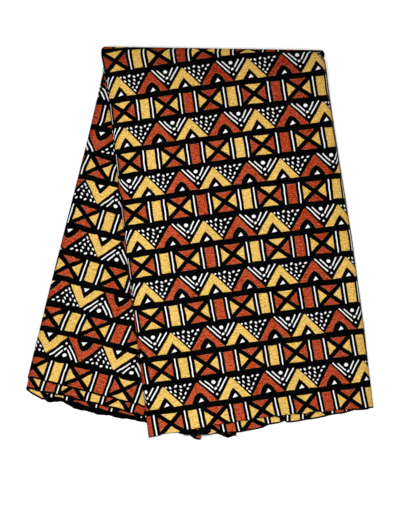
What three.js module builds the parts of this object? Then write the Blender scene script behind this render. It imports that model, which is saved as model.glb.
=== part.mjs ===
// A cut length of printed cotton, folded away for a shelf. It is folded in half lengthwise twice, which
// makes a strip of four layers. The strip is then folded over across its middle, at a slant, so the front
// panel swings a little to the right and the back panel swings out to the left from under it.
// Millimetres, +Z up. The cloth lies on z = 0, with its top fold towards +Y.
import * as THREE from "three";

// The sheet and its layers. Level 0 is the innermost layer of the top fold and level 3 the outermost.
const SHEET = 1.0; // thickness of the cloth
const PITCH = 1.4; // from the middle of one layer to the middle of the next
const INNER_RADIUS = 0.75; // middle of the innermost layer, round the top fold
const STRIP_WIDTH = 286; // the folded strip, a quarter of the cloth's width
const OUTER_LEVEL = 3;

// Where the selvedges of the two layers that have one stop, as a share of the strip's width.
const SELVEDGE_C = 0.83;
const SELVEDGE_D = 0.97;

// The top fold's line and the corners of each panel, seen from above, and the middle of the whole outline,
// which the cloth's own origin lies under.
const OUTLINE_MIDDLE = [-0.3, -1.0];
const FRONT_FOLD = { left: [-125.2, 246.8], right: [160.3, 242.1] };
const BACK_FOLD = { left: [-121.5, 246.8], right: [161.0, 242.1] };
const FRONT_END = { left: [-66.4, -251.0], right: [223.8, -213.0] };
const BACK_END = { left: [-222.2, -173.2], right: [48.0, -242.5] };

// How far each side edge lies off the straight line between its corners, positive to the right, by the
// share of the way down from the top fold.
const FRONT_SIDES = [
  { down: 0, left: -2.4, right: 0 },
  { down: 0.04, left: -1.7, right: 0 },
  { down: 0.1, left: 0, right: -0.6 },
  { down: 0.3, left: 0, right: 0.4 },
  { down: 0.52, left: -0.5, right: 2.7 },
  { down: 0.78, left: -0.2, right: 2.3 },
  { down: 0.9, left: 0, right: 0.7 },
  { down: 1, left: 0, right: 0 },
];
const BACK_SIDES = [
  { down: 0, left: 0, right: 0 },
  { down: 0.1, left: 3.2, right: 1 },
  { down: 0.27, left: 3.7, right: 1 },
  { down: 0.5, left: 2.3, right: 0 },
  { down: 0.75, left: 0.8, right: 0 },
  { down: 1, left: 0, right: 0 },
];

// How far each layer's cut end runs past the straight line between the end's corners, by the share of the
// way across. Layer a is the outermost, so it is on top in front and on the floor behind. Layer b is
// joined to it at the right edge, c to b at the left, and d to a at the left.
const FRONT_LAYER_ENDS = [
  { across: 0, a: 0, b: -7, c: -7, d: 0 },
  { across: 0.1, a: -2, b: -7, c: -6, d: -4 },
  { across: 0.15, a: -2.5, b: -6, c: 2, d: -2 },
  { across: 0.25, a: -4, b: -6, c: 6, d: 3 },
  { across: 0.44, a: -5.5, b: -7, c: 9.2, d: 5 },
  { across: 0.57, a: -5.5, b: -6, c: 4, d: 3 },
  { across: 0.68, a: -4.5, b: 5.2, c: -2.5, d: 1 },
  { across: 0.78, a: -3.5, b: 3.4, c: -2, d: 0 },
  { across: 0.88, a: -2.5, b: 1.3, c: -2, d: -1 },
  { across: 1, a: 0, b: 0, c: -2, d: -2 },
];
const BACK_LAYER_ENDS = [
  { across: 0, a: 1, b: 14, c: 14, d: 0 },
  { across: 0.02, a: 4, b: 20, c: 14.5, d: 0 },
  { across: 0.1, a: 24, b: 24, c: 14.5, d: 0 },
  { across: 0.12, a: 25, b: 20, c: 14, d: 0 },
  { across: 0.18, a: 20.5, b: 17, c: 12, d: 0 },
  { across: 0.25, a: 25, b: 19, c: 13, d: 0 },
  { across: 0.35, a: 24.5, b: 19, c: 12.3, d: 0 },
  { across: 0.5, a: 21.2, b: 17, c: 12.2, d: 0 },
  { across: 0.6, a: 19, b: 16, c: 14, d: 0 },
  { across: 0.75, a: 15, b: 13, c: 19, d: 0 },
  { across: 0.83, a: 14, b: 12, c: 24, d: 0 },
  { across: 0.94, a: 18.5, b: 9, c: 24, d: 0 },
  { across: 1, a: 9, b: 6, c: 24, d: 0 },
];

// Past the back panel's right edge and its cut end the front panel comes down to the floor.
const COME_DOWN = 24;
const EDGE_CLEARANCE = 1;
const END_CLEARANCE = 26;

// Low waves in the front panel where it lies on the back panel.
const WAVE_HEIGHT = 0.7;
const WAVE_LENGTH = 210;
const WAVE_SLANT = 0.35;
const WAVE_START = 60;

// How finely the shape is divided.
const FLAT_STEPS = { a: 10, b: 8, c: 7, d: 8 };
const OUTER_FOLD_STEPS = 6;
const TIGHT_FOLD_STEPS = 4;
const FRONT_STEPS = 12;
const OVER_STEPS = 7;
const BACK_STEPS = 11;

const CLOTH_COLOR = 0x6f4826;
const CLOTH_ROUGHNESS = 0.8;

const levelHeight = (level) => level * PITCH;
const FOLD_CENTRE_Z = SHEET / 2 + levelHeight(OUTER_LEVEL) + INNER_RADIUS;
const FRONT_HEIGHT = FOLD_CENTRE_Z + INNER_RADIUS;
const FLOOR_HEIGHT = SHEET / 2;

const mix = (from, to, share) => from + (to - from) * share;
const mixPoint = (from, to, share) => [mix(from[0], to[0], share), mix(from[1], to[1], share)];
const smooth = (share) => THREE.MathUtils.smoothstep(share, 0, 1);

// A column's value in a table, in proportion between two rows and level past the first and the last.
function read(table, key, column, at) {
  const next = table.findIndex((row) => row[key] >= at);
  if (next === 0) return table[0][column];
  if (next < 0) return table[table.length - 1][column];
  const low = table[next - 1];
  const high = table[next];
  return mix(low[column], high[column], (at - low[key]) / (high[key] - low[key]));
}

// The strip's section, from the selvedge of layer d round to the selvedge of layer c. Each station has its
// place across the strip, its height in the stack, the direction of the cloth's face there, and the two
// layers that it belongs to with the share of the second.
function sectionStations() {
  const stations = [];
  const leftCentre = levelHeight(OUTER_LEVEL) / 2 + SHEET / 2;
  const rightCentre = STRIP_WIDTH - PITCH / 2 - SHEET / 2;
  const add = (x, height, facing, layers, share) => stations.push({ x, height, facing, layers, share });

  const flat = (layer, level, from, to, faceUp) => {
    for (let step = 0; step <= FLAT_STEPS[layer]; step += 1) {
      const x = mix(from, to, step / FLAT_STEPS[layer]);
      add(x, levelHeight(level), [0, faceUp ? 1 : -1], [layer, layer], 0);
    }
  };
  const fold = (layers, centreX, centreLevel, radius, startAngle, turn, outward, steps) => {
    for (let step = 1; step < steps; step += 1) {
      const angle = startAngle + (turn * step) / steps;
      const across = Math.cos(angle);
      const up = Math.sin(angle);
      const facing = [across * outward, up * outward];
      const x = centreX + radius * across;
      add(x, levelHeight(centreLevel) + radius * up, facing, layers, step / steps);
    }
  };

  flat("d", 0, STRIP_WIDTH * SELVEDGE_D, leftCentre, false);
  fold("da", leftCentre, 1.5, 1.5 * PITCH, -Math.PI / 2, -Math.PI, 1, OUTER_FOLD_STEPS);
  flat("a", 3, leftCentre, rightCentre, true);
  fold("ab", rightCentre, 2.5, PITCH / 2, Math.PI / 2, -Math.PI, 1, TIGHT_FOLD_STEPS);
  flat("b", 2, rightCentre, leftCentre, false);
  fold("bc", leftCentre, 1.5, PITCH / 2, Math.PI / 2, Math.PI, -1, TIGHT_FOLD_STEPS);
  flat("c", 1, leftCentre, STRIP_WIDTH * SELVEDGE_C, true);
  return stations;
}

// How far past the end line the cloth runs at a station.
function pastEnd(table, station) {
  const across = station.x / STRIP_WIDTH;
  const first = read(table, "across", station.layers[0], across);
  const second = read(table, "across", station.layers[1], across);
  return mix(first, second, station.share);
}

// A point of a panel seen from above, by its share of the way across and its distance from the top fold.
function panelPoint(foldLine, endLine, sides, across, distance) {
  const top = mixPoint(foldLine.left, foldLine.right, across);
  const end = mixPoint(endLine.left, endLine.right, across);
  const length = Math.hypot(end[0] - top[0], end[1] - top[1]);
  const down = distance / length;
  const bulge = mix(read(sides, "down", "left", down), read(sides, "down", "right", down), across);
  return [mix(top[0], end[0], down) + bulge, mix(top[1], end[1], down)];
}

function panelLength(foldLine, endLine, across) {
  const top = mixPoint(foldLine.left, foldLine.right, across);
  const end = mixPoint(endLine.left, endLine.right, across);
  return Math.hypot(end[0] - top[0], end[1] - top[1]);
}

// Distance of a point from the line through two others, positive on the line's left.
function distanceLeftOf(from, to, point) {
  const dx = to[0] - from[0];
  const dy = to[1] - from[1];
  return (dx * (point[1] - from[1]) - dy * (point[0] - from[0])) / Math.hypot(dx, dy);
}

// Height of the front panel's lowest layer: on the back panel, or down on the floor beyond it.
function frontHeight(point, distance) {
  const pastEdge = distanceLeftOf(BACK_END.right, BACK_FOLD.right, point) * -1 - EDGE_CLEARANCE;
  const pastCut = distanceLeftOf(BACK_END.right, BACK_END.left, point) - END_CLEARANCE;
  const past = Math.max(pastEdge, pastCut, 0);
  const raised = 1 - smooth(past / COME_DOWN);
  const phase = (2 * Math.PI * (point[1] + WAVE_SLANT * point[0])) / WAVE_LENGTH;
  const wave = WAVE_HEIGHT * 0.5 * (1 - Math.cos(phase)) * smooth(distance / WAVE_START);
  return FLOOR_HEIGHT + (FRONT_HEIGHT - FLOOR_HEIGHT + wave) * raised;
}

// The rows that the section passes through: up the front panel, over the top fold, down the back panel.
function sweepRows() {
  const rows = [];
  for (let step = 0; step < FRONT_STEPS; step += 1) {
    rows.push({ part: "front", share: 1 - step / FRONT_STEPS });
  }
  for (let step = 0; step <= OVER_STEPS; step += 1) {
    rows.push({ part: "over", share: step / OVER_STEPS });
  }
  for (let step = 1; step <= BACK_STEPS; step += 1) {
    rows.push({ part: "back", share: step / BACK_STEPS });
  }
  return rows;
}

// One face's point at a station and a row. Side is 1 for the face that the station faces, else -1.
function surfacePoint(station, row, side) {
  const x = station.x + (station.facing[0] * side * SHEET) / 2;
  const height = station.height + (station.facing[1] * side * SHEET) / 2;
  const across = x / STRIP_WIDTH;
  const middle = station.x / STRIP_WIDTH;
  if (row.part === "front") {
    const length = panelLength(FRONT_FOLD, FRONT_END, middle) + pastEnd(FRONT_LAYER_ENDS, station);
    const distance = row.share * length;
    const point = panelPoint(FRONT_FOLD, FRONT_END, FRONT_SIDES, across, distance);
    return [point[0], point[1], frontHeight(point, distance) + height];
  }
  const radius = INNER_RADIUS + height;
  if (row.part === "back") {
    const length = panelLength(BACK_FOLD, BACK_END, middle) + pastEnd(BACK_LAYER_ENDS, station);
    const point = panelPoint(BACK_FOLD, BACK_END, BACK_SIDES, across, row.share * length);
    return [point[0], point[1], FOLD_CENTRE_Z - radius];
  }
  const angle = Math.PI * row.share;
  const from = panelPoint(FRONT_FOLD, FRONT_END, FRONT_SIDES, across, 0);
  const to = panelPoint(BACK_FOLD, BACK_END, BACK_SIDES, across, 0);
  const centre = mixPoint(from, to, smooth(row.share));
  return [centre[0], centre[1] + radius * Math.sin(angle), FOLD_CENTRE_Z + radius * Math.cos(angle)];
}

// The cloth is one closed skin: its two faces, and the rim along its selvedges and cut ends.
function clothGeometry() {
  const stations = sectionStations();
  const rows = sweepRows();
  const positions = [];
  for (const side of [1, -1]) {
    for (const row of rows) {
      for (const station of stations) {
        positions.push(...surfacePoint(station, row, side));
      }
    }
  }
  const across = stations.length;
  const along = rows.length;
  const faceSize = across * along;
  const indices = [];
  const quad = (a, b, c, d) => indices.push(a, b, c, a, c, d);
  const facing = (row, column) => row * across + column;
  const away = (row, column) => faceSize + row * across + column;

  for (let row = 0; row < along - 1; row += 1) {
    for (let column = 0; column < across - 1; column += 1) {
      quad(facing(row, column), facing(row, column + 1), facing(row + 1, column + 1), facing(row + 1, column));
      quad(away(row, column), away(row + 1, column), away(row + 1, column + 1), away(row, column + 1));
    }
    const last = across - 1;
    quad(facing(row, 0), facing(row + 1, 0), away(row + 1, 0), away(row, 0));
    quad(facing(row, last), away(row, last), away(row + 1, last), facing(row + 1, last));
  }
  for (let column = 0; column < across - 1; column += 1) {
    const last = along - 1;
    quad(facing(0, column), away(0, column), away(0, column + 1), facing(0, column + 1));
    quad(facing(last, column), facing(last, column + 1), away(last, column + 1), away(last, column));
  }

  const geometry = new THREE.BufferGeometry();
  geometry.setAttribute("position", new THREE.Float32BufferAttribute(positions, 3));
  geometry.setIndex(indices);
  geometry.computeVertexNormals();
  return geometry;
}

const cloth = new THREE.Mesh(
  clothGeometry(),
  new THREE.MeshStandardMaterial({ color: CLOTH_COLOR, roughness: CLOTH_ROUGHNESS, metalness: 0 }),
);
cloth.name = "folded_cloth";
cloth.position.set(-OUTLINE_MIDDLE[0], -OUTLINE_MIDDLE[1], 0);

const part = new THREE.Group();
part.add(cloth);

export default part;
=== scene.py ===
"""A cut length of printed cotton, folded lengthwise into a strip of four layers and folded over at a slant.

The cloth is one thin sheet. Its section (the lengthwise folds) is swept up the front panel, over the top
fold and down the back panel. The print is worked out in the material from the cloth's own coordinates,
which each point of the sheet carries in the attribute "print". The attribute "light" holds painted shade,
which darkens the colour, and "rim" says how much painted shade shows at the front's right fold, where the
cloth's back is in view.
Lengths in the shape and the print are in millimetres, and MM turns them into Blender's metres.
"""

import math
import random
from collections import namedtuple

import bpy
import numpy as np
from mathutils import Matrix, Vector


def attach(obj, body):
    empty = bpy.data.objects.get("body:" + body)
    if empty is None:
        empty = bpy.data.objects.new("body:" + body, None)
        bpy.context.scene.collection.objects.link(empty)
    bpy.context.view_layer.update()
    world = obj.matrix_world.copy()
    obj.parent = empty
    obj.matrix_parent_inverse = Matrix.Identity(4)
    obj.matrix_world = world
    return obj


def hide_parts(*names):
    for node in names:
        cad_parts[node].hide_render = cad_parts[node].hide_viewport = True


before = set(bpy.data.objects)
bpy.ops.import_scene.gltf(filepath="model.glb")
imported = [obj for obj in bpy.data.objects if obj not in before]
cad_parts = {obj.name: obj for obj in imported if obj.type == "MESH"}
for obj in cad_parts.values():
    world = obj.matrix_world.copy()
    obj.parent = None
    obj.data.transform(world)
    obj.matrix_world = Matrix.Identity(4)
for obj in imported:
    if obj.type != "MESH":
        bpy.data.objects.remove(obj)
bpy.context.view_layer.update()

MM = 0.001
NODE = "folded_cloth"

# The cloth. Level 0 is the innermost layer of the top fold and level 3 the outermost.
SHEET = 0.5  # thickness
CAD_HALF = 0.5  # half the thickness of the solid's sheet, whose middle the finer sheet keeps
PITCH = 1.4  # from one layer's middle to the next
INNER_RADIUS = 0.75  # of the top fold, at the middle of level 0
STRIP_WIDTH = 286.0
OUTER_LEVEL = 3
# The two selvedges, by the share of the way across the strip.
SELVEDGE_C = 0.845
SELVEDGE_D = 0.97

# The folded cloth seen from above, before its middle is moved to the origin.
OUTLINE_MIDDLE = (-0.3, -1.0)
FRONT_FOLD = {"left": (-125.2, 246.8), "right": (160.3, 242.1)}
BACK_FOLD = {"left": (-121.5, 246.8), "right": (161.0, 242.1)}
FRONT_END = {"left": (-66.4, -251.0), "right": (223.8, -213.0)}
BACK_END = {"left": (-222.2, -173.2), "right": (48.0, -242.5)}

# How far each side edge lies off its straight line, by the share of the way down from the top fold.
FRONT_SIDES = {
    "down": (0, 0.012, 0.04, 0.1, 0.3, 0.52, 0.78, 0.9, 1),
    "left": (-2.0, -3.0, -1.7, 0, 0, -0.5, -0.2, 0, 0),
    "right": (-1, 0, 0, -0.6, 0.4, 2.7, 2.3, 0.7, 0),
}
BACK_SIDES = {
    "down": (0, 0.1, 0.27, 0.5, 0.75, 1),
    "left": (0, 3.2, 3.7, 2.3, 0.8, 0),
    "right": (0, 1, 1, 0, 0, 0),
}
# How far the top right corner of the front is rounded off, and within which reach down and across.
CORNER = 5.0
CORNER_DOWN = 4.5
CORNER_ACROSS = 0.035

# How far each layer's cut end runs past the straight line between the end's corners, by the share of
# the way across. Layer a is the outermost, b is joined to it at the right, c to b and d to a at the left.
FRONT_LAYER_ENDS = {
    "across": (0, 0.1, 0.15, 0.25, 0.44, 0.57, 0.61, 0.68, 0.78, 0.88, 1),
    "a": (0, -2, -2.5, -4, -5.5, -5.5, -5.1, -4.5, -3.5, -2.5, 0),
    "b": (-7, -7, -6, -6, -7, -6, 4.5, 5.2, 3.4, 1.3, 0),
    "c": (-7, -6, 2, 6, 9.2, 4, 1.6, -2.5, -2, -2, -2),
    "d": (0, -4, -2, 3, 5, 3, 2.3, 1, 0, -1, -2),
}
BACK_LAYER_ENDS = {
    "across": (0, 0.02, 0.1, 0.12, 0.18, 0.25, 0.35, 0.5, 0.6, 0.75, 0.83, 0.925, 0.962, 1),
    "a": (1, 4, 24, 25, 20.5, 25, 24.5, 21.2, 19, 15, 14, 10.6, 13.5, 6),
    "b": (14, 20, 24, 20, 17, 19, 19, 17, 16, 13, 12, 9.4, 7.9, 6),
    "c": (14, 14.5, 14.5, 14, 12, 13, 12.3, 12.2, 14, 19, 24, 24, 24, 24),
    "d": (0, 0, 0, 0, 0, 0, 0, 0, 0, 0, 0, 0, 0, 0),
}

# Past the back panel's right edge and cut end the front panel comes down to the floor within this length.
COME_DOWN = 24.0
# It starts this far past the back's right edge, and past the straight line of its cut end.
EDGE_CLEARANCE = 1.0
END_CLEARANCE = 26.0
# Where it lies on the back panel, the front panel waves a little.
WAVE_HEIGHT = 0.7
WAVE_LENGTH = 210.0
WAVE_SLANT = 0.35
WAVE_START = 60.0

# How finely the sheet is divided.
FLAT_STEPS = {"a": 72, "b": 36, "c": 32, "d": 48}
RIM_STEPS = (0.7, 1.4, 2.4)  # more points next to layer a's right edge
OUTER_FOLD_STEPS = 14
TIGHT_FOLD_STEPS = 8
FRONT_STEPS = 120
OVER_STEPS = 16
BACK_STEPS = 84

# The print's repeat. Rows are counted down the front, from the centres of the rows of bars.
ROW = 67.6
BAR = 57.0
CHEVRON = BAR * 3 / 4
CHEVRON_START = -30.1
FRONT_END_ROW = 8.2
BACK_END_ROW = -6.225
SETTLE = 60.0  # length past the top fold in which the back panel's rows come into step
# How far the prints of layers b and c lie off an even fold. Layer b's gets there in a share of the width.
LAYER_B_PRINT = {"front": 13.0, "back": 46.0}
LAYER_B_EASE = 0.15
LAYER_C_PRINT = {"front": -108.1, "back": -85.2}
# How much of the cloth is black along each layer's cut end, and how much more of layer c at the front.
BACK_END_BLACK = {"a": 8.0, "b": 0.5, "c": 0.0, "d": 0.0}
FRONT_END_BLACK = {"a": 0.0, "b": 1.4, "c": 1.3, "d": 0.0}
FRONT_C_BLACK = {"across": (0.1, 0.12, 0.2, 0.23), "black": (0, 6, 6, 0)}
# The length next to layer c's front cut end in which its print shows, with black above it.
ALL_SHOWN = 600
FRONT_C_SLIVER = {
    "across": (0.22, 0.23, 0.25, 0.26, 0.28, 0.29),
    "shown": (ALL_SHOWN, -1, -1, 3.6, 3.6, ALL_SHOWN),
}
TOP_DRAWN = 5.0  # print drawn in where the cloth turns over the top fold
CUT_FOLLOWS_ROW = 0.3  # how much of the outer layer's uneven cut end its rows of print share
# Print that is drawn in over the front's left and right edges, and within which width.
LEFT_SQUEEZE = {"down": (0, 0.055, 0.075, 1), "drawn": (0, 0, 7, 7)}
LEFT_SQUEEZE_WIDTH = 5.0
RIGHT_SQUEEZE = {"down": (0, 0.3, 0.45, 1), "drawn": (5, 5, 2.8, 2)}
RIGHT_SQUEEZE_WIDTH = 7.5
# Print distance across each panel's outer layer, and how far its rows lie off even spacing at the two
# edges, by the share of the way down the panel.
FRONT_PRINT = {
    "down": (0, 0.1, 0.26, 0.41, 0.57, 0.72, 0.88, 1),
    "left": (-45.4, -46.8, -46.4, -44.1, -46.7, -50.3, -55, -58.3),
    "middle": (97.8, 97.7, 96.6, 96.2, 94.7, 90.7, 86.7, 81.4),
    "right": (238.4, 237.3, 233.9, 237.7, 238.2, 238.4, 232.9, 228.7),
    "left_drop": (-3, -1.5, 0.8, 3.1, 2.1, 0.9, 0.9, 0.3),
    "right_drop": (-1.1, 0.6, 1.4, 2, 1.6, 2.7, 1.4, 0.8),
}
BACK_PRINT = {
    "down": (0, 0.1, 0.15, 0.21, 0.3, 0.36, 0.45, 0.53, 0.61, 0.7, 0.78, 0.82, 0.86, 0.89, 1),
    "left": (-45, -50, -54, -54.3, -58.8, -63.3, -62.6, -64.9, -67.9, -71.3, -74.8, -77.9, -80, -78.2, -82),
    "width": (262, 262, 262, 262, 262, 262, 261, 259, 258, 256, 257, 257, 259, 265, 268),
    "drop": (3.3, 3.3, 3.7, 4.2, 3.6, 2.2, 0.8, -1.4, -0.5, 0, 1, 0.3, -0.4, 0, 0),
}

# The share of the light that the painted shade takes from the cloth's colour: at the top fold, towards
# the front's right side, next to its right edge, and where it turns over at either side.
TOP_SHADE = 0.3
TOP_SHADE_LENGTH = 55.0
SIDE_SHADE = 0.16
SIDE_SHADE_START = 0.2
EDGE_SHADE = 0.2
EDGE_SHADE_LENGTH = 8.0
RIM_SHADE = 0.55
RIM_SHADE_LENGTH = 2.0
BACK_SHADE = 0.05  # on the back panel
# The dark line along a cut end is painted shadow.
CUT_SHADOW_WIDTH = 0.8  # width of the dark line along a cut end
# The painted shade at the front's right fold, with the cloth's back in view: its width by the share of the
# way down.
RIM_WIDE = {"down": (0, 0.06, 0.3, 0.5, 0.8, 1), "width": (1.0, 1.7, 1.5, 0.8, 0.6, -0.4)}
RIM_SOFT = 1.2

# Raggedness of the cut ends: wavelength and height.
RAGGED = ((31.0, 0.5), (11.0, 0.35), (4.7, 0.25))
RAGGED_PHASE = 1.7  # sets the layers' unevenness apart

# Loose threads at the cut ends: panel, layer, stretch across the strip, how many and how long.
THREADS = (
    ("front", "c", 0.175, 0.215, 34, 3.6),
    ("front", "c", 0.27, 0.33, 40, 3.4),
    ("front", "a", 0.0, 0.02, 14, 2.6),
    ("front", "a", 0.02, 0.98, 60, 1.6),
    ("front", "c", 0.15, 0.6, 40, 2.0),
    ("front", "b", 0.6, 0.98, 30, 1.6),
    ("back", "a", 0.03, 0.98, 60, 1.8),
    ("back", "d", 0.02, 0.6, 30, 1.6),
    ("back", "a", 0.945, 0.995, 30, 3.2),
)
THREAD_RADIUS = 0.13
THREAD_SEED = 7
THREAD_RINGS = 4
# Spread of the threads' lean and bend, and the least share of their reach.
THREAD_LEAN = 0.5
THREAD_BEND = 0.8
THREAD_SHORTEST = 0.35
THREAD_SUNK = 0.4  # how far it starts inside the cloth
THREAD_DROOP = 0.5  # the share of its height that its tip comes down
THREAD_TAPER = 0.6  # the share of its radius that its tip loses
THREAD_CLEARANCE = 0.02  # between it and the floor
THREAD_COLOR = (0.16, 0.15, 0.11, 1)
THREAD_ROUGHNESS = 0.9

# Heights of the middle of the sheet.
OUTER_HEIGHT = OUTER_LEVEL * PITCH
FOLD_CENTRE_Z = CAD_HALF + OUTER_HEIGHT + INNER_RADIUS
FRONT_HEIGHT = FOLD_CENTRE_Z + INNER_RADIUS
FLOOR_HEIGHT = CAD_HALF
# Where the flat layers turn into the lengthwise folds.
LEFT_TURN = OUTER_HEIGHT / 2 + CAD_HALF
RIGHT_TURN = STRIP_WIDTH - PITCH / 2 - CAD_HALF

Station = namedtuple("Station", "place height facing_across facing_up layer next_layer share")


def read(table, key, column, at):
    """A column's value in a table, in proportion between two entries."""
    return np.interp(at, table[key], table[column])


def smooth(share):
    """A share kept between 0 and 1, with a soft start and end."""
    share = np.clip(share, 0, 1)
    return share * share * (3 - 2 * share)


def mix(a, b, share):
    """The value that lies a share of the way from a to b."""
    return a + (b - a) * share


def section():
    """The strip's section as stations: place across, height, the way its face looks, and layer.

    A station in a fold has the two layers that the fold joins, and its share of the way between them.
    """
    stations = []

    def flat(layer, level, start, end, up, more=()):
        places = [*np.linspace(start, end, FLAT_STEPS[layer] + 1), *(end - back for back in more)]
        for place in sorted(places, reverse=end < start):
            stations.append(Station(place, level * PITCH, 0, up, layer, layer, 0))

    def fold(layers, centre, level, radius, start, turn, outward, steps):
        for step in range(1, steps):
            angle = start + turn * step / steps
            across = math.cos(angle)
            up = math.sin(angle)
            place = centre + radius * across
            height = level * PITCH + radius * up
            stations.append(Station(place, height, across * outward, up * outward, *layers, step / steps))

    # A fold's level is midway between the levels of its two layers.
    half = math.pi / 2
    flat("d", 0, STRIP_WIDTH * SELVEDGE_D, LEFT_TURN, -1)
    fold("da", LEFT_TURN, 1.5, 1.5 * PITCH, -half, -math.pi, 1, OUTER_FOLD_STEPS)
    flat("a", 3, LEFT_TURN, RIGHT_TURN, 1, RIM_STEPS)
    fold("ab", RIGHT_TURN, 2.5, PITCH / 2, half, -math.pi, 1, TIGHT_FOLD_STEPS)
    flat("b", 2, RIGHT_TURN, LEFT_TURN, -1)
    fold("bc", LEFT_TURN, 1.5, PITCH / 2, half, math.pi, -1, TIGHT_FOLD_STEPS)
    flat("c", 1, LEFT_TURN, STRIP_WIDTH * SELVEDGE_C, 1)
    return stations


def by_layer(stations, value):
    """What a function of layer and station number gives for each station, in proportion in a fold."""
    first = np.array([value(station.layer, number) for number, station in enumerate(stations)])
    second = np.array([value(station.next_layer, number) for number, station in enumerate(stations)])
    return mix(first, second, np.array([station.share for station in stations]))


def on_line(line, across):
    """The point a share of the way across a line, from its left end to its right end."""
    return [mix(line["left"][k], line["right"][k], across) for k in (0, 1)]


def panel(fold_line, end_line, sides, across, distance):
    """Points of a panel seen from above, at a distance down from the top fold."""
    top = on_line(fold_line, across)
    end = on_line(end_line, across)
    down = distance / np.hypot(end[0] - top[0], end[1] - top[1])
    bulge = mix(read(sides, "down", "left", down), read(sides, "down", "right", down), across)
    return mix(top[0], end[0], down) + bulge, mix(top[1], end[1], down)


def panel_length(fold_line, end_line, across):
    """A panel's length from the top fold to the straight line between its end's corners."""
    top = on_line(fold_line, across)
    end = on_line(end_line, across)
    return np.hypot(end[0] - top[0], end[1] - top[1])


def corner_inset(across, distance):
    """How far the front's edge is drawn in at its rounded top right corner."""
    return CORNER * smooth((across - 1) / CORNER_ACROSS + 1) * np.exp(-distance / CORNER_DOWN)


def left_of(start, end, x, y):
    """How far a point lies to the left of the line from start to end."""
    dx = end[0] - start[0]
    dy = end[1] - start[1]
    return (dx * (y - start[1]) - dy * (x - start[0])) / math.hypot(dx, dy)


def front_height(x, y, distance):
    """Height of the front panel's lowest layer: on the back panel, or down on the floor beyond it."""
    past_edge = -left_of(BACK_END["right"], BACK_FOLD["right"], x, y) - EDGE_CLEARANCE
    past_cut = left_of(BACK_END["right"], BACK_END["left"], x, y) - END_CLEARANCE
    past = np.maximum(np.maximum(past_edge, past_cut), 0)
    raised = 1 - smooth(past / COME_DOWN)
    phase = 2 * math.pi * (y + WAVE_SLANT * x) / WAVE_LENGTH
    wave = WAVE_HEIGHT * 0.5 * (1 - np.cos(phase)) * smooth(distance / WAVE_START)
    return FLOOR_HEIGHT + (FRONT_HEIGHT - FLOOR_HEIGHT + wave) * raised


def ragged(layer, across):
    """Small unevenness of a layer's cut end."""
    phase = RAGGED_PHASE * "abcd".index(layer)
    place = 2 * math.pi * across * STRIP_WIDTH
    return sum(height * math.sin(place / length + phase * length) for length, height in RAGGED)


def past_end(table, stations, across):
    """How far past the end line the cloth runs at each station of the section."""

    def runs(layer, number):
        at = across[number]
        return float(read(table, "across", layer, at)) + ragged(layer, at)

    return by_layer(stations, runs)


def print_across(stations, left, middle, right, side, drawn_left=0.0, drawn_right=0.0):
    """Print distance at each station, from its layer's place in the folded strip."""
    place = np.array([station.place for station in stations])
    across = place / STRIP_WIDTH
    width = right - left
    squeeze = drawn_left * np.maximum(1 - place / LEFT_SQUEEZE_WIDTH, 0) ** 2
    ahead = drawn_right * np.maximum(1 - (STRIP_WIDTH - place) / RIGHT_SQUEEZE_WIDTH, 0) ** 2
    bend = (middle - (left + right) / 2) * 4 * across * (1 - across)
    ways = {
        "a": left + width * across + bend - squeeze + ahead,
        "d": left - width * across - squeeze,
        "b": right + width * (1 - across) + ahead + LAYER_B_PRINT[side] * smooth((1 - across) / LAYER_B_EASE),
        "c": right + width * (1 + across) + LAYER_C_PRINT[side],
    }
    return by_layer(stations, lambda layer, number: ways[layer][number])


def shade(across, distance, side):
    """How much light the painted shade leaves the cloth, by the share of the way across and the distance from
    the top fold.
    """
    from_right = np.maximum(1 - across, 0) * STRIP_WIDTH
    nearest = np.minimum(from_right, across * STRIP_WIDTH)
    light = 1 - TOP_SHADE * np.exp(-distance / TOP_SHADE_LENGTH)
    light = light * (1 - RIM_SHADE * np.exp(-nearest / RIM_SHADE_LENGTH))
    if side == "back":
        return light * (1 - BACK_SHADE * smooth(distance / SETTLE))
    light = light * (1 - SIDE_SHADE * np.maximum(across - SIDE_SHADE_START, 0))
    return light * (1 - EDGE_SHADE * np.exp(-from_right / EDGE_SHADE_LENGTH))


def rim(stations, down):
    """How much painted shade shows along the front's right fold, where the cloth's back is in view."""
    from_right = RIGHT_TURN - np.array([station.place for station in stations])
    outer = np.array([station.layer == "a" for station in stations])
    wide = read(RIM_WIDE, "down", "width", down)
    return outer * np.clip((wide - from_right) / RIM_SOFT, 0, 1)


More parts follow.
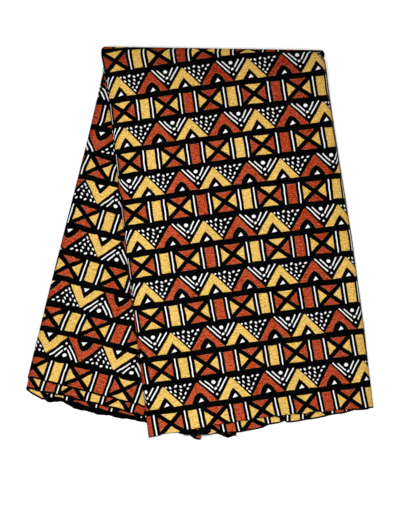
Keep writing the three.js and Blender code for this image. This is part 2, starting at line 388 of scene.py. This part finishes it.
class FoldedSheet:
    """The sheet's stations, and what its front panel, top fold and back panel hold at each of them.

    Each row is a pair: its points, and what the print needs of them. That is the distance across and the
    row in the print, the distance from the cut end, the painted shade and how much painted shade shows at
    the front's right fold.
    """

    def __init__(self):
        self.stations = section()
        self.layers = np.array([station.layer for station in self.stations])
        self.place = np.array([station.place for station in self.stations])
        self.height = np.array([station.height for station in self.stations])
        self.facing = np.array([[station.facing_across, station.facing_up] for station in self.stations])
        self.middle = self.place / STRIP_WIDTH
        front_cut = past_end(FRONT_LAYER_ENDS, self.stations, self.middle)
        back_cut = past_end(BACK_LAYER_ENDS, self.stations, self.middle)
        self.front_length = panel_length(FRONT_FOLD, FRONT_END, self.middle) + front_cut
        self.back_length = panel_length(BACK_FOLD, BACK_END, self.middle) + back_cut
        other_layer = by_layer(self.stations, lambda layer, number: float(layer != "a"))
        follows = CUT_FOLLOWS_ROW + (1 - CUT_FOLLOWS_ROW) * other_layer
        self.end_row = FRONT_END_ROW + front_cut * (1 - follows) / ROW

        self.back_black = by_layer(self.stations, lambda layer, number: BACK_END_BLACK[layer])
        front_black = by_layer(self.stations, lambda layer, number: FRONT_END_BLACK[layer])
        in_layer_c = np.array([station.layer == station.next_layer == "c" for station in self.stations])
        self.shown = np.where(in_layer_c, read(FRONT_C_SLIVER, "across", "shown", self.middle), ALL_SHOWN)
        self.front_black = front_black + in_layer_c * read(FRONT_C_BLACK, "across", "black", self.middle)

        self.top_across, self.top_rows = self.front_print(0)
        self.under_rows = self.top_rows - (INNER_RADIUS + self.height) * math.pi / ROW
        self.slack = self.under_rows - self.back_print(0)[1]

    def front_print(self, down):
        """Print distance and row at each station of the front, by the share of the way down it."""
        drawn = [read(FRONT_PRINT, "down", key, down) for key in ("left", "middle", "right")]
        drops = [read(FRONT_PRINT, "down", key, down) for key in ("left_drop", "right_drop")]
        drop = mix(*drops, self.middle)
        rows = self.end_row - (self.front_length * (1 - down) - drop) / ROW
        squeezes = [read(table, "down", "drawn", down) for table in (LEFT_SQUEEZE, RIGHT_SQUEEZE)]
        return print_across(self.stations, *drawn, "front", *squeezes), rows

    def back_print(self, down):
        """Print distance and row at each station of the back, by the share of the way down it."""
        left, width, drop = (read(BACK_PRINT, "down", key, down) for key in ("left", "width", "drop"))
        to_end = self.back_length * (1 - down)
        rows = BACK_END_ROW + (to_end + drop) / ROW
        return print_across(self.stations, left, left + width / 2, left + width, "back"), rows

    def front_row(self, down, across, height):
        """A row of the front panel, the share of the way down it."""
        distance = down * self.front_length
        x, y = panel(FRONT_FOLD, FRONT_END, FRONT_SIDES, across, distance)
        x = x - corner_inset(across, distance)
        left_over = self.front_length - distance
        to_end = np.where(self.shown < ALL_SHOWN, self.shown - left_over, left_over - self.front_black)
        lit = shade(self.middle, distance, "front")
        values = (*self.front_print(down), to_end, lit, rim(self.stations, down))
        return (x, y, front_height(x, y, distance) + height), values

    def over_row(self, share, across, height):
        """A row of the top fold, the share of the way over it from the front to the back."""
        over_x, over_y = panel(FRONT_FOLD, FRONT_END, FRONT_SIDES, across, 0 * across)
        under_x, under_y = panel(BACK_FOLD, BACK_END, BACK_SIDES, across, 0 * across)
        angle = math.pi * share
        radius = INNER_RADIUS + height
        x = mix(over_x - corner_inset(across, 0), under_x, smooth(share))
        y = mix(over_y, under_y, smooth(share)) + radius * math.sin(angle)
        rows = mix(self.top_rows, self.under_rows, share) - TOP_DRAWN * math.sin(angle) / ROW
        lit = shade(self.middle, 0 * self.middle, "front")
        values = (self.top_across, rows, self.front_length, lit, rim(self.stations, 0) * (1 - share))
        return (x, y, FOLD_CENTRE_Z + radius * math.cos(angle)), values

    def back_row(self, down, across, height):
        """A row of the back panel, the share of the way down it."""
        distance = down * self.back_length
        x, y = panel(BACK_FOLD, BACK_END, BACK_SIDES, across, distance)
        settled = smooth(distance / SETTLE)
        drawn, rows = self.back_print(down)
        drawn = mix(self.top_across, drawn, settled)
        rows = rows + self.slack * (1 - settled)
        to_end = self.back_length - distance - self.back_black
        values = (drawn, rows, to_end, shade(self.middle, distance, "back"), 0 * self.middle)
        return (x, y, FOLD_CENTRE_Z - (INNER_RADIUS + height)), values

    def arrays(self):
        """Points of both faces as (side, row, station, xyz), and what the print needs in the same order."""
        faces = []
        prints = []
        for side in (1, -1):
            across = (self.place + self.facing[:, 0] * side * SHEET / 2) / STRIP_WIDTH
            height = self.height + self.facing[:, 1] * side * SHEET / 2
            made = [self.front_row(1 - step / FRONT_STEPS, across, height) for step in range(FRONT_STEPS)]
            made += [self.over_row(step / OVER_STEPS, across, height) for step in range(OVER_STEPS + 1)]
            made += [self.back_row(step / BACK_STEPS, across, height) for step in range(1, BACK_STEPS + 1)]
            faces.append(np.array([points for points, values in made]).transpose(0, 2, 1))
            prints.append(np.array([values for points, values in made]).transpose(0, 2, 1))
        return np.array(faces), np.array(prints)


def grid_faces(rows, columns):
    """Quads of the two faces and of the rim that joins them."""
    size = rows * columns
    row, column = np.meshgrid(np.arange(rows - 1), np.arange(columns - 1), indexing="ij")
    start = (row * columns + column).ravel()
    near = np.stack([start, start + 1, start + columns + 1, start + columns], axis=1)
    far = size + np.stack([start, start + columns, start + columns + 1, start + 1], axis=1)
    edge = np.arange(rows - 1) * columns
    last = edge + columns - 1
    left = np.stack([edge, edge + columns, size + edge + columns, size + edge], axis=1)
    right = np.stack([last, size + last, size + last + columns, last + columns], axis=1)
    begin = np.arange(columns - 1)
    end = begin + (rows - 1) * columns
    first = np.stack([begin, size + begin, size + begin + 1, begin + 1], axis=1)
    final = np.stack([end, end + 1, size + end + 1, size + end], axis=1)
    return np.concatenate([near, far, left, right, first, final])


def make_mesh(name, points, quads):
    """A smooth-shaded object from points in millimetres, before the outline's middle is moved."""
    moved = (points - np.array([*OUTLINE_MIDDLE, 0])) * MM
    mesh = bpy.data.meshes.new(name)
    mesh.from_pydata(moved.tolist(), [], quads.tolist())
    mesh.validate()
    mesh.shade_smooth()
    made = bpy.data.objects.new(name, mesh)
    bpy.context.scene.collection.objects.link(made)
    return made


def make_cloth(faces, prints):
    """The sheet as one mesh, whose points carry what the print needs."""
    rows, columns = faces.shape[1:3]
    cloth = make_mesh("printed_cloth", faces.reshape(-1, 3), grid_faces(rows, columns))
    values = prints.reshape(-1, prints.shape[-1])
    place = cloth.data.attributes.new("print", "FLOAT_VECTOR", "POINT")
    place.data.foreach_set("vector", values[:, :3].ravel())
    for name, column in (("light", 3), ("rim", 4)):
        value = cloth.data.attributes.new(name, "FLOAT", "POINT")
        value.data.foreach_set("value", values[:, column].ravel())
    return cloth


def thread_points(root, ahead, lean, bend, length):
    """Points of a bent thread that sticks out of the cloth at its root, four to a ring."""
    aside = np.array([-ahead[1], ahead[0], 0])
    points = []
    for ring in range(THREAD_RINGS):
        gone = ring / (THREAD_RINGS - 1)
        middle = root + ahead * (length * gone - THREAD_SUNK)
        middle = middle + aside * length * gone * (lean + bend * gone)
        droop = root[2] * THREAD_DROOP * gone * gone
        middle[2] = max(middle[2] - droop, THREAD_RADIUS + THREAD_CLEARANCE)
        wide = THREAD_RADIUS * (1 - THREAD_TAPER * gone)
        for across, up in ((1, 0), (0, 1), (-1, 0), (0, -1)):
            points.append(middle + aside * across * wide + np.array([0, 0, up * wide]))
    return points


def thread_faces(base):
    """Quads of a thread's sides and its two ends, from the number of its first point."""
    quads = []
    for ring in range(THREAD_RINGS - 1):
        low = base + ring * 4
        high = low + 4
        for turn in range(4):
            after = (turn + 1) % 4
            quads.append((low + turn, low + after, high + after, high + turn))
    tip = base + (THREAD_RINGS - 1) * 4
    quads.append((base, base + 3, base + 2, base + 1))
    quads.append((tip, tip + 1, tip + 2, tip + 3))
    return quads


def make_threads(faces, layers):
    """Fine loose threads that stick out of the cut ends, each a bent four-sided tube."""
    chance = random.Random(THREAD_SEED)
    points = []
    quads = []
    for panel_name, layer, first, last, count, reach in THREADS:
        end, before = (0, 1) if panel_name == "front" else (-1, -2)
        stations = np.nonzero(layers == layer)[0]
        places = faces[:, end, stations].mean(axis=0)
        inner = faces[:, before, stations].mean(axis=0)
        share = np.linspace(0, 1, len(stations))
        if layer in "bd":
            share = share[::-1]
        order = np.argsort(share)
        for _ in range(count):
            at = chance.uniform(first, last)
            root = np.array([np.interp(at, share[order], places[order, k]) for k in range(3)])
            start = np.array([np.interp(at, share[order], inner[order, k]) for k in range(3)])
            ahead = (root - start) / np.linalg.norm(root - start)
            lean = chance.gauss(0, THREAD_LEAN)
            bend = chance.gauss(0, THREAD_BEND)
            length = reach * chance.uniform(THREAD_SHORTEST, 1)
            quads += thread_faces(len(points))
            points += thread_points(root, ahead, lean, bend, length)
    threads = make_mesh("loose_threads", np.array(points), np.array(quads))
    threads.data.materials.append(plain_material("loose_threads", THREAD_COLOR, THREAD_ROUGHNESS))
    return threads


def plain_material(name, colour, roughness):
    """A material of one colour."""
    material = bpy.data.materials.new(name)
    material.use_nodes = True
    shader = material.node_tree.nodes["Principled BSDF"]
    shader.inputs["Base Color"].default_value = colour
    shader.inputs["Roughness"].default_value = roughness
    return material


class Nodes:
    """Short names for making a material's nodes."""

    def __init__(self, material):
        self.tree = material.node_tree
        self.shader = self.tree.nodes["Principled BSDF"]

    def link(self, value, socket):
        """Joins another node's output to a socket, or sets the socket to a plain value."""
        if isinstance(value, bpy.types.NodeSocket):
            self.tree.links.new(value, socket)
        else:
            socket.default_value = value

    def math(self, operation, *values, clamp=False):
        node = self.tree.nodes.new("ShaderNodeMath")
        node.operation = operation
        node.use_clamp = clamp
        for value, socket in zip(values, node.inputs):
            self.link(value, socket)
        return node.outputs[0]

    def add(self, a, b):
        return self.math("ADD", a, b)

    def sub(self, a, b):
        return self.math("SUBTRACT", a, b)

    def mul(self, a, b):
        return self.math("MULTIPLY", a, b)

    def low(self, a, b):
        return self.math("MINIMUM", a, b)

    def high(self, a, b):
        return self.math("MAXIMUM", a, b)

    def size(self, a):
        return self.math("ABSOLUTE", a)

    def vector(self, x, y, z=0.0):
        """A vector from its three parts."""
        node = self.tree.nodes.new("ShaderNodeCombineXYZ")
        for value, socket in zip((x, y, z), node.inputs):
            self.link(value, socket)
        return node.outputs[0]

    def parts(self, vector):
        """The three parts of a vector."""
        node = self.tree.nodes.new("ShaderNodeSeparateXYZ")
        self.link(vector, node.inputs[0])
        return node.outputs

    def placed(self, vector, at, turn, half):
        """The vector as seen from a mark's middle, along and across it, in half sizes."""
        node = self.tree.nodes.new("ShaderNodeMapping")
        node.vector_type = "TEXTURE"
        self.link(vector, node.inputs["Vector"])
        node.inputs["Location"].default_value = (*at, 0)
        node.inputs["Rotation"].default_value = (0, 0, math.radians(turn))
        node.inputs["Scale"].default_value = (*half, 1)
        return node.outputs[0]

    def value(self, name):
        """The value of one of the mesh's attributes."""
        node = self.tree.nodes.new("ShaderNodeAttribute")
        node.attribute_name = name
        return node.outputs["Fac"]

    def length(self, vector):
        """The length of a vector."""
        node = self.tree.nodes.new("ShaderNodeVectorMath")
        node.operation = "LENGTH"
        self.link(vector, node.inputs[0])
        return node.outputs["Value"]

    def noise(self, vector, scale, detail=2.0, rough=0.5):
        """Outputs of a noise: its value and its colour."""
        node = self.tree.nodes.new("ShaderNodeTexNoise")
        self.link(vector, node.inputs["Vector"])
        node.inputs["Scale"].default_value = scale
        node.inputs["Detail"].default_value = detail
        node.inputs["Roughness"].default_value = rough
        return node.outputs

    def blend(self, share, a, b):
        """The colour a share of the way from a to b. Sockets 6 and 7 are the node's two colours."""
        node = self.tree.nodes.new("ShaderNodeMix")
        node.data_type = "RGBA"
        self.link(share, node.inputs[0])
        self.link(a, node.inputs[6])
        self.link(b, node.inputs[7])
        return node.outputs[2]

    def tinted(self, colour, strength):
        """The colour times a strength."""
        node = self.tree.nodes.new("ShaderNodeVectorMath")
        node.operation = "SCALE"
        self.link(colour, node.inputs[0])
        self.link(strength, node.inputs["Scale"])
        return node.outputs[0]

    def lifted(self, colour, amount):
        """The colour with the same amount added to its red, green and blue, and none below zero."""
        raised = self.tree.nodes.new("ShaderNodeVectorMath")
        raised.operation = "ADD"
        self.link(colour, raised.inputs[0])
        self.link(self.vector(amount, amount, amount), raised.inputs[1])
        kept = self.tree.nodes.new("ShaderNodeVectorMath")
        kept.operation = "MAXIMUM"
        self.link(raised.outputs[0], kept.inputs[0])
        return kept.outputs[0]

    def nearest(self, a, step):
        """The number of the nearest whole step."""
        return self.math("ROUND", self.math("DIVIDE", a, step))

    def below(self, a, step):
        """The number of the whole step at or below."""
        return self.math("FLOOR", self.math("DIVIDE", a, step))

    def odd(self, number):
        """1 for an odd whole number and 0 for an even one."""
        return self.math("PINGPONG", number, 1.0)

    def third(self, number):
        """1 for a whole number that three divides and 0 for the others."""
        return self.math("COMPARE", self.math("WRAP", number, 3.0, 0.0), 0.0, 0.25)

    def inked(self, inside):
        """1 where a distance inside a figure's edge is positive, with a soft step across the edge."""
        return self.math("MULTIPLY_ADD", inside, 1 / INK_EDGE, 0.5, clamp=True)


# Dots of the spotted triangle: place across from its middle, height above its foot, half sizes and turn.
DOTS = (
    (-17.4, 24.7, 1.4, 1.3, 0),
    (-12.4, 24.2, 2.1, 1.4, -55),
    (-5.6, 25.4, 2.3, 1.5, 40),
    (0.3, 23.7, 2.1, 1.4, -50),
    (5.7, 24.7, 2.0, 1.3, 40),
    (12.5, 24.9, 2.3, 1.3, 20),
    (-12.4, 19.0, 2.1, 1.1, -45),
    (-6.8, 19.0, 2.5, 1.1, -65),
    (0.0, 19.2, 2.0, 1.2, -45),
    (8.9, 20.4, 2.1, 1.3, 40),
    (-7.9, 14.1, 2.5, 1.0, -55),
    (-1.2, 14.8, 2.1, 1.2, -50),
    (4.9, 14.6, 2.5, 1.1, 60),
    (-3.8, 10.0, 1.7, 1.1, 50),
    (1.7, 9.5, 2.1, 1.2, 50),
    (-1.4, 5.9, 2.5, 1.0, -50),
)
# Strokes of the lined triangle: the two ends and the half width.
STROKES = (
    ((-18.3, 28.2), (-3.4, 10.2), 0.72),
    ((-11.6, 27.0), (-2.9, 16.4), 0.7),
    ((9.4, 27.6), (2.9, 17.3), 0.74),
    ((16.5, 28.0), (3.9, 11.6), 0.7),
)
BLOBS = ((-1.0, 23.7, 2.4, 2.2, 0), (0.1, 15.3, 1.9, 1.3, 35), (0.3, 8.1, 1.3, 1.1, 30))
# How far a dot reaches in half sizes, and what turns half sizes into millimetres at its edge and a blob's.
DOT_REACH = 0.8
DOT_EDGE = 1.3
BLOB_EDGE = 1.7

# Sizes in a row of the print.
INK_EDGE = 0.35  # how soft the edge of a figure is
BAR_HALF = (5.4, 12.6)
LINE_PLACE = 9.6
LINE_HALF = 0.69
LINE_TALL = 13.5
BOX_HALF = (14.4, 12.6)
CROSS_HALF = 2.85
CHEVRON_FOOT = 47.1  # from the bars' middle down to the chevrons' foot
CHEVRON_HALF = 20.4
CHEVRON_TALL = 27.0
CHEVRON_BLUNT = 0.9  # how much of the tip is cut off
# The notch in a yellow chevron's foot and in a red one's: half width, and how round it is. Both are as tall.
NOTCH_HALF = (9.3, 10.6)
NOTCH_ROUND = (0.15, 0.6)
NOTCH_TALL = 13.4
TOOTH = ((-2.7, 0.7), (1.15, 5.8), (3.8, 1.7))

BLACK = (0.0011, 0.0011, 0.0014)
WHITE = (0.80, 0.80, 0.79, 1)
YELLOW = (0.615, 0.396, 0.097, 1)
SHADED_YELLOW = (0.603, 0.368, 0.083, 1)
RED = (0.366, 0.053, 0.0162, 1)
SHADED_RED = (0.27, 0.0258, 0.0065, 1)
# Painted shade at the front's right fold: the cloth's back in view there, darkened.
SHADED_FOLD_EDGE = (0.085, 0.09, 0.06, 1)
INK_SHADING = 4.0  # an ink has its shaded colour where a quarter of the light is lost
RIM_STRENGTH = 0.8
CLOTH_ROUGHNESS = 0.85

# Noise: how many waves there are in a millimetre, and how strong each kind is.
WANDER_SCALE = 0.09
WANDER = 1.5
MOTTLED_SCALE = 0.62
MOTTLED = 1.9
SLUB_SCALE = (0.16, 0.8)
SLUBS = 1.3
BROAD_SCALE = 0.012
BROAD = 0.25
GRAIN_DETAIL = (3.0, 0.6)
GRAIN_LIFT = 0.13  # the grain's grey part, which the weave lends to every ink alike
BLACK_GRAIN = 18.0


def bar_row(n, across, down, row):
    """Rows of bars and crossed boxes: how much ink, how much of it is red, and the white lines."""
    level = n.size(n.sub(down, n.mul(n.math("ROUND", row), ROW)))
    bar = n.nearest(across, BAR)
    from_bar = n.size(n.sub(across, n.mul(bar, BAR)))
    bar_in = n.low(n.sub(BAR_HALF[0], from_bar), n.sub(BAR_HALF[1], level))
    line_gap = n.size(n.sub(from_bar, LINE_PLACE))
    line_in = n.low(n.sub(LINE_HALF, line_gap), n.sub(LINE_TALL, level))
    box = n.below(across, BAR)
    from_box = n.size(n.sub(across, n.mul(n.add(box, 0.5), BAR)))
    diagonal = math.hypot(*BOX_HALF)
    cross = n.sub(n.mul(from_box, BOX_HALF[1] / diagonal), n.mul(level, BOX_HALF[0] / diagonal))
    box_in = n.low(n.sub(BOX_HALF[0], from_box), n.sub(BOX_HALF[1], level))
    box_in = n.low(box_in, n.sub(n.size(cross), CROSS_HALF))
    # The third box in each three has its colours changed over.
    beside = n.math("GREATER_THAN", cross, 0.0)
    box_red = n.size(n.sub(n.third(n.add(box, 1.0)), n.sub(1.0, beside)))
    bars = n.inked(bar_in)
    boxes = n.inked(box_in)
    red = n.add(n.mul(bars, n.odd(bar)), n.mul(boxes, box_red))
    return n.high(bars, boxes), red, n.inked(line_in)


def chevron_shape(n, from_middle, height, is_red):
    """How far inside a chevron's ink a place is: under its slopes and outside its notch."""
    slope = CHEVRON_HALF * CHEVRON_TALL / math.hypot(CHEVRON_HALF, CHEVRON_TALL)
    reach = n.add(n.mul(n.size(from_middle), 1 / CHEVRON_HALF), n.mul(height, 1 / CHEVRON_TALL))
    outer = n.mul(n.sub(1.0, reach), slope)
    outer = n.low(outer, n.low(height, n.sub(CHEVRON_TALL - CHEVRON_BLUNT, height)))
    notch_slope = NOTCH_HALF[0] * NOTCH_TALL / math.hypot(NOTCH_HALF[0], NOTCH_TALL)
    narrow = n.add(n.mul(is_red, 1 / NOTCH_HALF[1] - 1 / NOTCH_HALF[0]), 1 / NOTCH_HALF[0])
    aside = n.mul(n.size(from_middle), narrow)
    above_foot = n.mul(height, 1 / NOTCH_TALL)
    pointed = n.add(aside, above_foot)
    rounded = n.length(n.vector(aside, above_foot))
    round_share = n.add(n.mul(is_red, NOTCH_ROUND[1] - NOTCH_ROUND[0]), NOTCH_ROUND[0])
    notch = n.add(pointed, n.mul(round_share, n.sub(rounded, pointed)))
    return n.low(outer, n.mul(n.sub(notch, 1.0), notch_slope))


def tooth_shape(n, from_middle, height):
    """How far inside the small white tooth in a chevron's notch: the least distance inside its sides."""
    tooth_in = None
    for (x0, y0), (x1, y1) in zip(TOOTH, TOOTH[1:] + TOOTH[:1]):
        long = math.hypot(x1 - x0, y1 - y0)
        ahead = (y1 - y0) / long
        above = (x0 - x1) / long
        gone = n.add(n.mul(from_middle, ahead), n.mul(height, above))
        inside = n.sub(gone, x0 * ahead + y0 * above)
        tooth_in = inside if tooth_in is None else n.low(tooth_in, inside)
    return tooth_in


def triangle_marks(n, along, height):
    """White marks in the triangles between chevrons: spotted right of yellow, lined right of red."""
    gap = n.below(along, CHEVRON)
    from_gap = n.sub(along, n.mul(n.add(gap, 0.5), CHEVRON))
    lined = n.odd(gap)
    spot = n.vector(from_gap, height)
    dots_in = None
    for x, y, long, wide, turned in DOTS:
        far = n.length(n.placed(spot, (x, y), turned, (long, wide)))
        dots_in = far if dots_in is None else n.low(dots_in, far)
    dots_in = n.mul(n.sub(DOT_REACH, dots_in), DOT_EDGE)
    lines_in = None
    for (x0, y0), (x1, y1), wide in STROKES:
        long = math.hypot(x1 - x0, y1 - y0) / 2
        turned = math.degrees(math.atan2(y1 - y0, x1 - x0))
        seen = n.parts(n.placed(spot, ((x0 + x1) / 2, (y0 + y1) / 2), turned, (1, 1)))
        past = n.high(n.sub(n.size(seen[0]), long - wide), 0.0)
        inside = n.sub(wide, n.length(n.vector(past, seen[1])))
        lines_in = inside if lines_in is None else n.high(lines_in, inside)
    for x, y, long, wide, turned in BLOBS:
        far = n.length(n.placed(spot, (x, y), turned, (long, wide)))
        lines_in = n.high(lines_in, n.mul(n.sub(1.0, far), BLOB_EDGE))
    return n.add(n.mul(n.inked(dots_in), n.sub(1.0, lined)), n.mul(n.inked(lines_in), lined))


def chevron_row(n, across, down, row):
    """Rows of chevrons: how much ink, how much of it is red, and the white marks."""
    number = n.math("FLOOR", row)
    height = n.sub(CHEVRON_FOOT, n.sub(down, n.mul(number, ROW)))
    along = n.sub(n.sub(across, CHEVRON_START), n.mul(n.third(number), CHEVRON / 2))
    chevron = n.nearest(along, CHEVRON)
    from_middle = n.sub(along, n.mul(chevron, CHEVRON))
    is_red = n.odd(chevron)
    chevrons = n.inked(chevron_shape(n, from_middle, height, is_red))
    tooth = n.inked(tooth_shape(n, from_middle, height))
    return chevrons, n.mul(chevrons, is_red), n.high(triangle_marks(n, along, height), tooth)


def print_masks(n, across, row):
    """How much coloured ink, red ink and white lies at a place of the print."""
    down = n.mul(row, ROW)
    bars, bars_red, bars_white = bar_row(n, across, down, row)
    chevrons, chevrons_red, chevrons_white = chevron_row(n, across, down, row)
    return n.high(bars, chevrons), n.add(bars_red, chevrons_red), n.high(chevrons_white, bars_white)


def cloth_material():
    """The printed cotton: the print's inks on black, with woven grain and painted shade, also at the right
    fold.
    """
    material = bpy.data.materials.new("printed_cotton")
    material.use_nodes = True
    n = Nodes(material)
    source = n.tree.nodes.new("ShaderNodeAttribute")
    source.attribute_name = "print"
    place = n.parts(source.outputs["Vector"])
    flat = n.vector(place[0], n.mul(place[1], ROW))
    # The hand-drawn figures: their edges wander a little.
    wander = n.parts(n.noise(flat, WANDER_SCALE)[1])
    across = n.add(place[0], n.mul(n.sub(wander[0], 0.5), WANDER))
    row = n.add(place[1], n.mul(n.sub(wander[1], 0.5), WANDER / ROW))
    coloured, red, white = print_masks(n, across, row)
    # Woven grain: mottled ink, and slubs that run along the weft.
    mottled = n.noise(flat, MOTTLED_SCALE, *GRAIN_DETAIL)[0]
    slub_place = n.vector(n.mul(place[0], SLUB_SCALE[0]), n.mul(place[1], ROW * SLUB_SCALE[1]))
    slubs = n.noise(slub_place, 1.0, *GRAIN_DETAIL)[0]
    broad = n.noise(flat, BROAD_SCALE)[0]
    tone = n.add(n.mul(n.sub(mottled, 0.5), MOTTLED), n.mul(n.sub(slubs, 0.5), SLUBS))
    tone = n.add(n.add(tone, n.mul(n.sub(broad, 0.5), BROAD)), 1.0)
    lightness = n.value("light")
    shaded = n.math("MULTIPLY", n.sub(1.0, lightness), INK_SHADING, clamp=True)
    yellow_ink = n.blend(shaded, YELLOW, SHADED_YELLOW)
    red_ink = n.blend(shaded, RED, SHADED_RED)
    ink = n.tinted(n.blend(red, yellow_ink, red_ink), tone)
    ink = n.lifted(ink, n.mul(n.sub(tone, 1.0), GRAIN_LIFT))
    black = n.tinted(BLACK, n.high(n.add(n.mul(n.sub(mottled, 0.5), BLACK_GRAIN), 1.0), 0.0))
    # A painted shadow line darkens each cut end, and the cloth that the tables keep black is dark too.
    whole = n.math("GREATER_THAN", place[2], CUT_SHADOW_WIDTH)
    colour = n.blend(n.mul(n.low(coloured, 1.0), whole), black, ink)
    colour = n.blend(n.mul(white, whole), colour, WHITE)
    # Painted shade along the front's right fold, where the cloth's back is in view.
    colour = n.blend(n.mul(n.value("rim"), RIM_STRENGTH), colour, SHADED_FOLD_EDGE)
    # The painted shade in "light" darkens every colour.
    n.link(n.tinted(colour, lightness), n.shader.inputs["Base Color"])
    n.shader.inputs["Roughness"].default_value = CLOTH_ROUGHNESS
    n.shader.inputs["Specular IOR Level"].default_value = 0.0
    return material


# The pale floor and the lights, in metres and watts.
FLOOR_HALF = 4.0
FLOOR_COLOR = (0.93, 0.93, 0.93, 1)
FLOOR_ROUGHNESS = 0.9
LIGHTS = (
    ("overhead", (-0.5, -0.7, 2.4), 2.2, 45),
    ("side", (1.4, 0.9, 1.8), 1.6, 12),
)
ROOM_COLOR = (1, 1, 1, 1)
ROOM_LIGHT = 0.75


def make_floor():
    """The surface that the cloth lies on."""
    mesh = bpy.data.meshes.new("floor")
    half = FLOOR_HALF
    corners = [(-half, -half, 0), (half, -half, 0), (half, half, 0), (-half, half, 0)]
    mesh.from_pydata(corners, [], [(0, 1, 2, 3)])
    floor = bpy.data.objects.new("floor", mesh)
    bpy.context.scene.collection.objects.link(floor)
    mesh.materials.append(plain_material("pale_floor", FLOOR_COLOR, FLOOR_ROUGHNESS))


def add_light(name, at, size, power):
    """A round area light that faces the cloth."""
    data = bpy.data.lights.new(name, "AREA")
    data.shape = "DISK"
    data.size = size
    data.energy = power
    light = bpy.data.objects.new(name, data)
    light.location = at
    light.rotation_euler = Vector(at).to_track_quat("Z", "Y").to_euler()
    bpy.context.scene.collection.objects.link(light)


def make_lights():
    """The area lights, and even light from all round."""
    for name, at, size, power in LIGHTS:
        add_light(name, at, size, power)
    world = bpy.data.worlds.new("room")
    world.use_nodes = True
    world.node_tree.nodes["Background"].inputs["Color"].default_value = ROOM_COLOR
    world.node_tree.nodes["Background"].inputs["Strength"].default_value = ROOM_LIGHT
    bpy.context.scene.world = world


# The photograph looks straight down. Its frame takes in this much of the floor.
PHOTO_SCALE = 1.29  # millimetres of cloth for each pixel
PHOTO_SIZE = (416, 517)
CAMERA_HEIGHT = 2.4
SENSOR = 36.0
FRAME_MIDDLE = (10.6, -19.8)  # from the object's origin, in millimetres


def make_camera():
    """A camera straight above the middle of the photograph's frame."""
    data = bpy.data.cameras.new("camera")
    data.sensor_width = SENSOR
    data.lens = SENSOR * CAMERA_HEIGHT / (PHOTO_SIZE[1] * PHOTO_SCALE * MM)
    camera = bpy.data.objects.new("camera", data)
    camera.location = (FRAME_MIDDLE[0] * MM, FRAME_MIDDLE[1] * MM, CAMERA_HEIGHT)
    bpy.context.scene.collection.objects.link(camera)
    bpy.context.scene.camera = camera


make_camera()
make_floor()
make_lights()
sheet = FoldedSheet()
sheet_faces, sheet_prints = sheet.arrays()
cloth = make_cloth(sheet_faces, sheet_prints)
cloth.data.materials.append(cloth_material())
threads = make_threads(sheet_faces, sheet.layers)
for piece in (cloth, threads):
    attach(piece, "root")
    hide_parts(NODE)

bpy.context.scene.view_settings.view_transform = "Standard"
